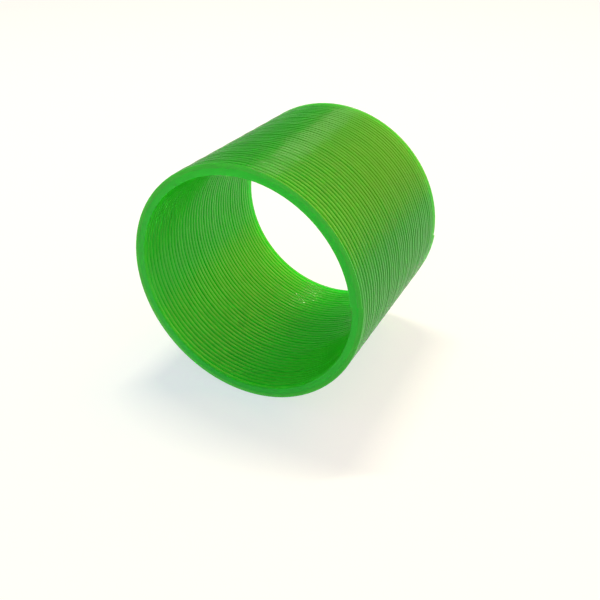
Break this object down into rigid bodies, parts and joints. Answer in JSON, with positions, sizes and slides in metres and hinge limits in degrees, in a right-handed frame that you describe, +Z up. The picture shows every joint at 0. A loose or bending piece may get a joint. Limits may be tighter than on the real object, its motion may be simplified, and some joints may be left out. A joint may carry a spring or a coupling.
{
  "type": "spring coil toy",
  "caption": "Walking coil spring toy in translucent green plastic: a flat strand wound into closed turns, whose middle turns fan open so that it arches end over end.",
  "frame": {"origin": "middle of the coil's footprint, on the surface that it lies on", "axes": "+Y along the coil's axis from its front end to its back end, +X across the coil to the side where the strand begins and ends, +Z up"},
  "size_m": [0.075, 0.0654, 0.075],
  "materials": {
    "coil_plastic": "glossy, see-through green"
  },
  "bodies": {
    "front_stack": {"front_turns_1": "coil_plastic", "front_turns_2": "coil_plastic", "front_turns_3": "coil_plastic", "front_turns_4": "coil_plastic", "front_turns_5": "coil_plastic", "front_turns_6": "coil_plastic"},
    "fan_turn_1_upper": {"fan_turn_1_upper": "coil_plastic"},
    "fan_turn_1_lower": {"fan_turn_1_lower": "coil_plastic"},
    "fan_turn_2_upper": {"fan_turn_2_upper": "coil_plastic"},
    "fan_turn_2_lower": {"fan_turn_2_lower": "coil_plastic"},
    "fan_turn_3_upper": {"fan_turn_3_upper": "coil_plastic"},
    "fan_turn_3_lower": {"fan_turn_3_lower": "coil_plastic"},
    "fan_turn_4_upper": {"fan_turn_4_upper": "coil_plastic"},
    "fan_turn_4_lower": {"fan_turn_4_lower": "coil_plastic"},
    "fan_turn_5_upper": {"fan_turn_5_upper": "coil_plastic"},
    "fan_turn_5_lower": {"fan_turn_5_lower": "coil_plastic"},
    "fan_turn_6_upper": {"fan_turn_6_upper": "coil_plastic"},
    "fan_turn_6_lower": {"fan_turn_6_lower": "coil_plastic"},
    "fan_turn_7_upper": {"fan_turn_7_upper": "coil_plastic"},
    "fan_turn_7_lower": {"fan_turn_7_lower": "coil_plastic"},
    "fan_turn_8_upper": {"fan_turn_8_upper": "coil_plastic"},
    "fan_turn_8_lower": {"fan_turn_8_lower": "coil_plastic"},
    "fan_turn_9_upper": {"fan_turn_9_upper": "coil_plastic"},
    "fan_turn_9_lower": {"fan_turn_9_lower": "coil_plastic"},
    "fan_turn_10_upper": {"fan_turn_10_upper": "coil_plastic"},
    "fan_turn_10_lower": {"fan_turn_10_lower": "coil_plastic"},
    "fan_turn_11_upper": {"fan_turn_11_upper": "coil_plastic"},
    "fan_turn_11_lower": {"fan_turn_11_lower": "coil_plastic"},
    "fan_turn_12_upper": {"fan_turn_12_upper": "coil_plastic"},
    "fan_turn_12_lower": {"fan_turn_12_lower": "coil_plastic"},
    "fan_turn_13_upper": {"fan_turn_13_upper": "coil_plastic"},
    "fan_turn_13_lower": {"fan_turn_13_lower": "coil_plastic"},
    "fan_turn_14_upper": {"fan_turn_14_upper": "coil_plastic"},
    "fan_turn_14_lower": {"fan_turn_14_lower": "coil_plastic"},
    "fan_turn_15_upper": {"fan_turn_15_upper": "coil_plastic"},
    "fan_turn_15_lower": {"fan_turn_15_lower": "coil_plastic"},
    "fan_turn_16_upper": {"fan_turn_16_upper": "coil_plastic"},
    "fan_turn_16_lower": {"fan_turn_16_lower": "coil_plastic"},
    "fan_turn_17_upper": {"fan_turn_17_upper": "coil_plastic"},
    "fan_turn_17_lower": {"fan_turn_17_lower": "coil_plastic"},
    "fan_turn_18_upper": {"fan_turn_18_upper": "coil_plastic"},
    "fan_turn_18_lower": {"fan_turn_18_lower": "coil_plastic"},
    "fan_turn_19_upper": {"fan_turn_19_upper": "coil_plastic"},
    "fan_turn_19_lower": {"fan_turn_19_lower": "coil_plastic"},
    "fan_turn_20_upper": {"fan_turn_20_upper": "coil_plastic"},
    "fan_turn_20_lower": {"fan_turn_20_lower": "coil_plastic"},
    "fan_turn_21_upper": {"fan_turn_21_upper": "coil_plastic"},
    "fan_turn_21_lower": {"fan_turn_21_lower": "coil_plastic"},
    "fan_turn_22_upper": {"fan_turn_22_upper": "coil_plastic"},
    "fan_turn_22_lower": {"fan_turn_22_lower": "coil_plastic"},
    "fan_turn_23_upper": {"fan_turn_23_upper": "coil_plastic"},
    "fan_turn_23_lower": {"fan_turn_23_lower": "coil_plastic"},
    "fan_turn_24_upper": {"fan_turn_24_upper": "coil_plastic"},
    "fan_turn_24_lower": {"fan_turn_24_lower": "coil_plastic"},
    "back_stack": {"back_turns_1": "coil_plastic", "back_turns_2": "coil_plastic", "back_turns_3": "coil_plastic", "back_turns_4": "coil_plastic", "back_turns_5": "coil_plastic", "back_turns_6": "coil_plastic"}
  },
  "joints": [
    {"name": "right_hinge_1", "type": "hinge", "parent": "front_stack", "child": "fan_turn_1_upper", "pos_m": [0.0375, -0.01872, 0.0375], "axis": [0, 0, -1], "range_deg": [0, 0.71], "stiffness_Nm_per_rad": 0.028},
    {"name": "left_hinge_1", "type": "hinge", "parent": "fan_turn_1_upper", "child": "fan_turn_1_lower", "pos_m": [-0.0375, -0.01794, 0.0375], "axis": [0, 0, 1], "range_deg": [0, 1.42], "stiffness_Nm_per_rad": 0.028},
    {"name": "right_hinge_2", "type": "hinge", "parent": "fan_turn_1_lower", "child": "fan_turn_2_upper", "pos_m": [0.0375, -0.01716, 0.0375], "axis": [0, 0, -1], "range_deg": [0, 2.12], "stiffness_Nm_per_rad": 0.028},
    {"name": "left_hinge_2", "type": "hinge", "parent": "fan_turn_2_upper", "child": "fan_turn_2_lower", "pos_m": [-0.0375, -0.01638, 0.0375], "axis": [0, 0, 1], "range_deg": [0, 2.81], "stiffness_Nm_per_rad": 0.028},
    {"name": "right_hinge_3", "type": "hinge", "parent": "fan_turn_2_lower", "child": "fan_turn_3_upper", "pos_m": [0.0375, -0.0156, 0.0375], "axis": [0, 0, -1], "range_deg": [0, 3.49], "stiffness_Nm_per_rad": 0.028},
    {"name": "left_hinge_3", "type": "hinge", "parent": "fan_turn_3_upper", "child": "fan_turn_3_lower", "pos_m": [-0.0375, -0.01482, 0.0375], "axis": [0, 0, 1], "range_deg": [0, 4.16], "stiffness_Nm_per_rad": 0.028},
    {"name": "right_hinge_4", "type": "hinge", "parent": "fan_turn_3_lower", "child": "fan_turn_4_upper", "pos_m": [0.0375, -0.01404, 0.0375], "axis": [0, 0, -1], "range_deg": [0, 4.81], "stiffness_Nm_per_rad": 0.028},
    {"name": "left_hinge_4", "type": "hinge", "parent": "fan_turn_4_upper", "child": "fan_turn_4_lower", "pos_m": [-0.0375, -0.01326, 0.0375], "axis": [0, 0, 1], "range_deg": [0, 5.45], "stiffness_Nm_per_rad": 0.028},
    {"name": "right_hinge_5", "type": "hinge", "parent": "fan_turn_4_lower", "child": "fan_turn_5_upper", "pos_m": [0.0375, -0.01248, 0.0375], "axis": [0, 0, -1], "range_deg": [0, 6.06], "stiffness_Nm_per_rad": 0.028},
    {"name": "left_hinge_5", "type": "hinge", "parent": "fan_turn_5_upper", "child": "fan_turn_5_lower", "pos_m": [-0.0375, -0.0117, 0.0375], "axis": [0, 0, 1], "range_deg": [0, 6.64], "stiffness_Nm_per_rad": 0.028},
    {"name": "right_hinge_6", "type": "hinge", "parent": "fan_turn_5_lower", "child": "fan_turn_6_upper", "pos_m": [0.0375, -0.01092, 0.0375], "axis": [0, 0, -1], "range_deg": [0, 7.21], "stiffness_Nm_per_rad": 0.028},
    {"name": "left_hinge_6", "type": "hinge", "parent": "fan_turn_6_upper", "child": "fan_turn_6_lower", "pos_m": [-0.0375, -0.01014, 0.0375], "axis": [0, 0, 1], "range_deg": [0, 7.74], "stiffness_Nm_per_rad": 0.028},
    {"name": "right_hinge_7", "type": "hinge", "parent": "fan_turn_6_lower", "child": "fan_turn_7_upper", "pos_m": [0.0375, -0.00936, 0.0375], "axis": [0, 0, -1], "range_deg": [0, 8.24], "stiffness_Nm_per_rad": 0.028},
    {"name": "left_hinge_7", "type": "hinge", "parent": "fan_turn_7_upper", "child": "fan_turn_7_lower", "pos_m": [-0.0375, -0.00858, 0.0375], "axis": [0, 0, 1], "range_deg": [0, 8.71], "stiffness_Nm_per_rad": 0.028},
    {"name": "right_hinge_8", "type": "hinge", "parent": "fan_turn_7_lower", "child": "fan_turn_8_upper", "pos_m": [0.0375, -0.0078, 0.0375], "axis": [0, 0, -1], "range_deg": [0, 9.14], "stiffness_Nm_per_rad": 0.028},
    {"name": "left_hinge_8", "type": "hinge", "parent": "fan_turn_8_upper", "child": "fan_turn_8_lower", "pos_m": [-0.0375, -0.00702, 0.0375], "axis": [0, 0, 1], "range_deg": [0, 9.54], "stiffness_Nm_per_rad": 0.028},
    {"name": "right_hinge_9", "type": "hinge", "parent": "fan_turn_8_lower", "child": "fan_turn_9_upper", "pos_m": [0.0375, -0.00624, 0.0375], "axis": [0, 0, -1], "range_deg": [0, 9.9], "stiffness_Nm_per_rad": 0.028},
    {"name": "left_hinge_9", "type": "hinge", "parent": "fan_turn_9_upper", "child": "fan_turn_9_lower", "pos_m": [-0.0375, -0.00546, 0.0375], "axis": [0, 0, 1], "range_deg": [0, 10.23], "stiffness_Nm_per_rad": 0.028},
    {"name": "right_hinge_10", "type": "hinge", "parent": "fan_turn_9_lower", "child": "fan_turn_10_upper", "pos_m": [0.0375, -0.00468, 0.0375], "axis": [0, 0, -1], "range_deg": [0, 10.51], "stiffness_Nm_per_rad": 0.028},
    {"name": "left_hinge_10", "type": "hinge", "parent": "fan_turn_10_upper", "child": "fan_turn_10_lower", "pos_m": [-0.0375, -0.0039, 0.0375], "axis": [0, 0, 1], "range_deg": [0, 10.75], "stiffness_Nm_per_rad": 0.028},
    {"name": "right_hinge_11", "type": "hinge", "parent": "fan_turn_10_lower", "child": "fan_turn_11_upper", "pos_m": [0.0375, -0.00312, 0.0375], "axis": [0, 0, -1], "range_deg": [0, 10.95], "stiffness_Nm_per_rad": 0.028},
    {"name": "left_hinge_11", "type": "hinge", "parent": "fan_turn_11_upper", "child": "fan_turn_11_lower", "pos_m": [-0.0375, -0.00234, 0.0375], "axis": [0, 0, 1], "range_deg": [0, 11.1], "stiffness_Nm_per_rad": 0.028},
    {"name": "right_hinge_12", "type": "hinge", "parent": "fan_turn_11_lower", "child": "fan_turn_12_upper", "pos_m": [0.0375, -0.00156, 0.0375], "axis": [0, 0, -1], "range_deg": [0, 11.21], "stiffness_Nm_per_rad": 0.028},
    {"name": "left_hinge_12", "type": "hinge", "parent": "fan_turn_12_upper", "child": "fan_turn_12_lower", "pos_m": [-0.0375, -0.00078, 0.0375], "axis": [0, 0, 1], "range_deg": [0, 11.28], "stiffness_Nm_per_rad": 0.028},
    {"name": "right_hinge_13", "type": "hinge", "parent": "fan_turn_12_lower", "child": "fan_turn_13_upper", "pos_m": [0.0375, 0, 0.0375], "axis": [0, 0, -1], "range_deg": [0, 11.3], "stiffness_Nm_per_rad": 0.028},
    {"name": "left_hinge_13", "type": "hinge", "parent": "fan_turn_13_upper", "child": "fan_turn_13_lower", "pos_m": [-0.0375, 0.00078, 0.0375], "axis": [0, 0, 1], "range_deg": [0, 11.28], "stiffness_Nm_per_rad": 0.028},
    {"name": "right_hinge_14", "type": "hinge", "parent": "fan_turn_13_lower", "child": "fan_turn_14_upper", "pos_m": [0.0375, 0.00156, 0.0375], "axis": [0, 0, -1], "range_deg": [0, 11.21], "stiffness_Nm_per_rad": 0.028},
    {"name": "left_hinge_14", "type": "hinge", "parent": "fan_turn_14_upper", "child": "fan_turn_14_lower", "pos_m": [-0.0375, 0.00234, 0.0375], "axis": [0, 0, 1], "range_deg": [0, 11.1], "stiffness_Nm_per_rad": 0.028},
    {"name": "right_hinge_15", "type": "hinge", "parent": "fan_turn_14_lower", "child": "fan_turn_15_upper", "pos_m": [0.0375, 0.00312, 0.0375], "axis": [0, 0, -1], "range_deg": [0, 10.95], "stiffness_Nm_per_rad": 0.028},
    {"name": "left_hinge_15", "type": "hinge", "parent": "fan_turn_15_upper", "child": "fan_turn_15_lower", "pos_m": [-0.0375, 0.0039, 0.0375], "axis": [0, 0, 1], "range_deg": [0, 10.75], "stiffness_Nm_per_rad": 0.028},
    {"name": "right_hinge_16", "type": "hinge", "parent": "fan_turn_15_lower", "child": "fan_turn_16_upper", "pos_m": [0.0375, 0.00468, 0.0375], "axis": [0, 0, -1], "range_deg": [0, 10.51], "stiffness_Nm_per_rad": 0.028},
    {"name": "left_hinge_16", "type": "hinge", "parent": "fan_turn_16_upper", "child": "fan_turn_16_lower", "pos_m": [-0.0375, 0.00546, 0.0375], "axis": [0, 0, 1], "range_deg": [0, 10.23], "stiffness_Nm_per_rad": 0.028},
    {"name": "right_hinge_17", "type": "hinge", "parent": "fan_turn_16_lower", "child": "fan_turn_17_upper", "pos_m": [0.0375, 0.00624, 0.0375], "axis": [0, 0, -1], "range_deg": [0, 9.9], "stiffness_Nm_per_rad": 0.028},
    {"name": "left_hinge_17", "type": "hinge", "parent": "fan_turn_17_upper", "child": "fan_turn_17_lower", "pos_m": [-0.0375, 0.00702, 0.0375], "axis": [0, 0, 1], "range_deg": [0, 9.54], "stiffness_Nm_per_rad": 0.028},
    {"name": "right_hinge_18", "type": "hinge", "parent": "fan_turn_17_lower", "child": "fan_turn_18_upper", "pos_m": [0.0375, 0.0078, 0.0375], "axis": [0, 0, -1], "range_deg": [0, 9.14], "stiffness_Nm_per_rad": 0.028},
    {"name": "left_hinge_18", "type": "hinge", "parent": "fan_turn_18_upper", "child": "fan_turn_18_lower", "pos_m": [-0.0375, 0.00858, 0.0375], "axis": [0, 0, 1], "range_deg": [0, 8.71], "stiffness_Nm_per_rad": 0.028},
    {"name": "right_hinge_19", "type": "hinge", "parent": "fan_turn_18_lower", "child": "fan_turn_19_upper", "pos_m": [0.0375, 0.00936, 0.0375], "axis": [0, 0, -1], "range_deg": [0, 8.24], "stiffness_Nm_per_rad": 0.028},
    {"name": "left_hinge_19", "type": "hinge", "parent": "fan_turn_19_upper", "child": "fan_turn_19_lower", "pos_m": [-0.0375, 0.01014, 0.0375], "axis": [0, 0, 1], "range_deg": [0, 7.74], "stiffness_Nm_per_rad": 0.028},
    {"name": "right_hinge_20", "type": "hinge", "parent": "fan_turn_19_lower", "child": "fan_turn_20_upper", "pos_m": [0.0375, 0.01092, 0.0375], "axis": [0, 0, -1], "range_deg": [0, 7.21], "stiffness_Nm_per_rad": 0.028},
    {"name": "left_hinge_20", "type": "hinge", "parent": "fan_turn_20_upper", "child": "fan_turn_20_lower", "pos_m": [-0.0375, 0.0117, 0.0375], "axis": [0, 0, 1], "range_deg": [0, 6.64], "stiffness_Nm_per_rad": 0.028},
    {"name": "right_hinge_21", "type": "hinge", "parent": "fan_turn_20_lower", "child": "fan_turn_21_upper", "pos_m": [0.0375, 0.01248, 0.0375], "axis": [0, 0, -1], "range_deg": [0, 6.06], "stiffness_Nm_per_rad": 0.028},
    {"name": "left_hinge_21", "type": "hinge", "parent": "fan_turn_21_upper", "child": "fan_turn_21_lower", "pos_m": [-0.0375, 0.01326, 0.0375], "axis": [0, 0, 1], "range_deg": [0, 5.45], "stiffness_Nm_per_rad": 0.028},
    {"name": "right_hinge_22", "type": "hinge", "parent": "fan_turn_21_lower", "child": "fan_turn_22_upper", "pos_m": [0.0375, 0.01404, 0.0375], "axis": [0, 0, -1], "range_deg": [0, 4.81], "stiffness_Nm_per_rad": 0.028},
    {"name": "left_hinge_22", "type": "hinge", "parent": "fan_turn_22_upper", "child": "fan_turn_22_lower", "pos_m": [-0.0375, 0.01482, 0.0375], "axis": [0, 0, 1], "range_deg": [0, 4.16], "stiffness_Nm_per_rad": 0.028},
    {"name": "right_hinge_23", "type": "hinge", "parent": "fan_turn_22_lower", "child": "fan_turn_23_upper", "pos_m": [0.0375, 0.0156, 0.0375], "axis": [0, 0, -1], "range_deg": [0, 3.49], "stiffness_Nm_per_rad": 0.028},
    {"name": "left_hinge_23", "type": "hinge", "parent": "fan_turn_23_upper", "child": "fan_turn_23_lower", "pos_m": [-0.0375, 0.01638, 0.0375], "axis": [0, 0, 1], "range_deg": [0, 2.81], "stiffness_Nm_per_rad": 0.028},
    {"name": "right_hinge_24", "type": "hinge", "parent": "fan_turn_23_lower", "child": "fan_turn_24_upper", "pos_m": [0.0375, 0.01716, 0.0375], "axis": [0, 0, -1], "range_deg": [0, 2.12], "stiffness_Nm_per_rad": 0.028},
    {"name": "left_hinge_24", "type": "hinge", "parent": "fan_turn_24_upper", "child": "fan_turn_24_lower", "pos_m": [-0.0375, 0.01794, 0.0375], "axis": [0, 0, 1], "range_deg": [0, 1.42], "stiffness_Nm_per_rad": 0.028},
    {"name": "right_hinge_25", "type": "hinge", "parent": "fan_turn_24_lower", "child": "back_stack", "pos_m": [0.0375, 0.01872, 0.0375], "axis": [0, 0, -1], "range_deg": [0, 0.71], "stiffness_Nm_per_rad": 0.028}
  ],
  "couplings": [
    {"joint": "right_hinge_1", "follows": "right_hinge_13", "ratio": 0.06279},
    {"joint": "left_hinge_1", "follows": "left_hinge_12", "ratio": 0.12558},
    {"joint": "right_hinge_2", "follows": "right_hinge_13", "ratio": 0.18738},
    {"joint": "left_hinge_2", "follows": "left_hinge_12", "ratio": 0.24918},
    {"joint": "right_hinge_3", "follows": "right_hinge_13", "ratio": 0.30902},
    {"joint": "left_hinge_3", "follows": "left_hinge_12", "ratio": 0.36885},
    {"joint": "right_hinge_4", "follows": "right_hinge_13", "ratio": 0.42578},
    {"joint": "left_hinge_4", "follows": "left_hinge_12", "ratio": 0.48271},
    {"joint": "right_hinge_5", "follows": "right_hinge_13", "ratio": 0.53583},
    {"joint": "left_hinge_5", "follows": "left_hinge_12", "ratio": 0.58895},
    {"joint": "right_hinge_6", "follows": "right_hinge_13", "ratio": 0.63742},
    {"joint": "left_hinge_6", "follows": "left_hinge_12", "ratio": 0.6859},
    {"joint": "right_hinge_7", "follows": "right_hinge_13", "ratio": 0.72897},
    {"joint": "left_hinge_7", "follows": "left_hinge_12", "ratio": 0.77204},
    {"joint": "right_hinge_8", "follows": "right_hinge_13", "ratio": 0.80902},
    {"joint": "left_hinge_8", "follows": "left_hinge_12", "ratio": 0.846},
    {"joint": "right_hinge_9", "follows": "right_hinge_13", "ratio": 0.87631},
    {"joint": "left_hinge_9", "follows": "left_hinge_12", "ratio": 0.90662},
    {"joint": "right_hinge_10", "follows": "right_hinge_13", "ratio": 0.92978},
    {"joint": "left_hinge_10", "follows": "left_hinge_12", "ratio": 0.95294},
    {"joint": "right_hinge_11", "follows": "right_hinge_13", "ratio": 0.96858},
    {"joint": "left_hinge_11", "follows": "left_hinge_12", "ratio": 0.98423},
    {"joint": "right_hinge_12", "follows": "right_hinge_13", "ratio": 0.99211},
    {"joint": "left_hinge_13", "follows": "left_hinge_12", "ratio": 1},
    {"joint": "right_hinge_14", "follows": "right_hinge_13", "ratio": 0.99211},
    {"joint": "left_hinge_14", "follows": "left_hinge_12", "ratio": 0.98423},
    {"joint": "right_hinge_15", "follows": "right_hinge_13", "ratio": 0.96858},
    {"joint": "left_hinge_15", "follows": "left_hinge_12", "ratio": 0.95294},
    {"joint": "right_hinge_16", "follows": "right_hinge_13", "ratio": 0.92978},
    {"joint": "left_hinge_16", "follows": "left_hinge_12", "ratio": 0.90662},
    {"joint": "right_hinge_17", "follows": "right_hinge_13", "ratio": 0.87631},
    {"joint": "left_hinge_17", "follows": "left_hinge_12", "ratio": 0.846},
    {"joint": "right_hinge_18", "follows": "right_hinge_13", "ratio": 0.80902},
    {"joint": "left_hinge_18", "follows": "left_hinge_12", "ratio": 0.77204},
    {"joint": "right_hinge_19", "follows": "right_hinge_13", "ratio": 0.72897},
    {"joint": "left_hinge_19", "follows": "left_hinge_12", "ratio": 0.6859},
    {"joint": "right_hinge_20", "follows": "right_hinge_13", "ratio": 0.63742},
    {"joint": "left_hinge_20", "follows": "left_hinge_12", "ratio": 0.58895},
    {"joint": "right_hinge_21", "follows": "right_hinge_13", "ratio": 0.53583},
    {"joint": "left_hinge_21", "follows": "left_hinge_12", "ratio": 0.48271},
    {"joint": "right_hinge_22", "follows": "right_hinge_13", "ratio": 0.42578},
    {"joint": "left_hinge_22", "follows": "left_hinge_12", "ratio": 0.36885},
    {"joint": "right_hinge_23", "follows": "right_hinge_13", "ratio": 0.30902},
    {"joint": "left_hinge_23", "follows": "left_hinge_12", "ratio": 0.24918},
    {"joint": "right_hinge_24", "follows": "right_hinge_13", "ratio": 0.18738},
    {"joint": "left_hinge_24", "follows": "left_hinge_12", "ratio": 0.12558},
    {"joint": "right_hinge_25", "follows": "right_hinge_13", "ratio": 0.06279}
  ]
}
